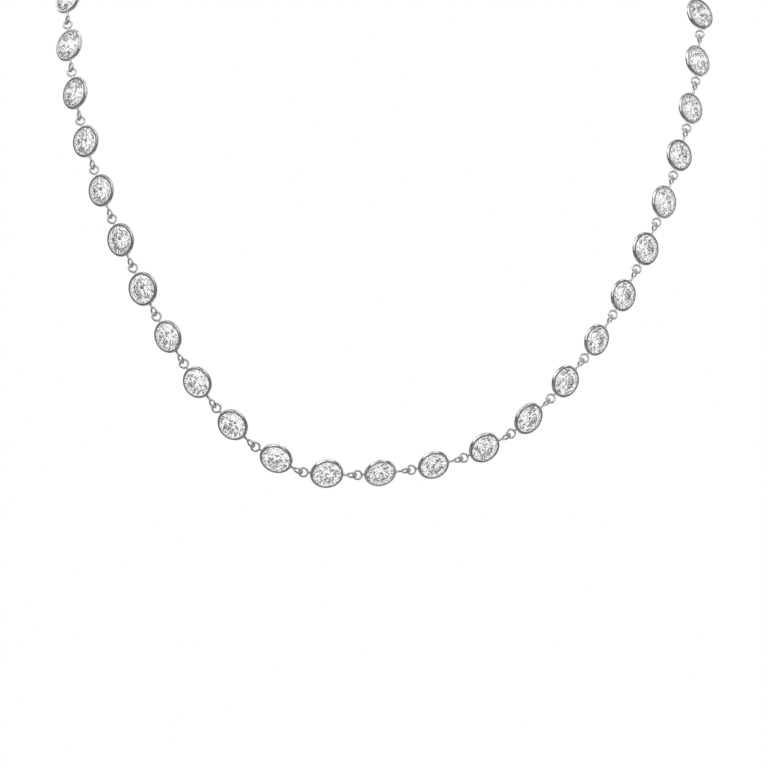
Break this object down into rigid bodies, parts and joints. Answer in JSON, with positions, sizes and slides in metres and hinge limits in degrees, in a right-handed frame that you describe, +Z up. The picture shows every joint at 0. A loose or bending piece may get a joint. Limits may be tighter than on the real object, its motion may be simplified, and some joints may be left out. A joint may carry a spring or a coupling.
{
  "type": "diamond station necklace",
  "caption": "Necklace of round brilliant-cut stones in cup bezels, joined by pairs of soldered interlocking eyes and closed by a spring ring, in the form that it has when worn.",
  "frame": {"origin": "the nape point, on the chain's centre line, where the necklace hangs on the back of the neck", "axes": "+X to the right of a viewer who faces the wearer, -Y towards that viewer, +Z up"},
  "size_m": [0.1378, 0.1076, 0.1151],
  "materials": {
    "white_gold": "high-polish rhodium-plated white gold",
    "diamond": "polished flat facets, colourless"
  },
  "bodies": {
    "root": {"setting_01": "white_gold", "setting_02": "white_gold", "setting_03": "white_gold", "setting_04": "white_gold", "setting_05": "white_gold", "setting_06": "white_gold", "setting_07": "white_gold", "setting_08": "white_gold", "setting_09": "white_gold", "setting_10": "white_gold", "setting_11": "white_gold", "setting_12": "white_gold", "setting_13": "white_gold", "setting_14": "white_gold", "setting_15": "white_gold", "setting_16": "white_gold", "setting_17": "white_gold", "setting_18": "white_gold", "setting_19": "white_gold", "setting_20": "white_gold", "setting_21": "white_gold", "setting_22": "white_gold", "setting_23": "white_gold", "setting_24": "white_gold", "setting_25": "white_gold", "setting_26": "white_gold", "setting_27": "white_gold", "setting_28": "white_gold", "setting_29": "white_gold", "setting_30": "white_gold", "setting_31": "white_gold", "setting_32": "white_gold", "setting_33": "white_gold", "setting_34": "white_gold", "setting_35": "white_gold", "setting_36": "white_gold", "setting_37": "white_gold", "setting_38": "white_gold", "setting_39": "white_gold", "setting_40": "white_gold", "setting_41": "white_gold", "stones": "diamond", "clasp": "white_gold", "catch_ring": "white_gold"}
  },
  "joints": []
}
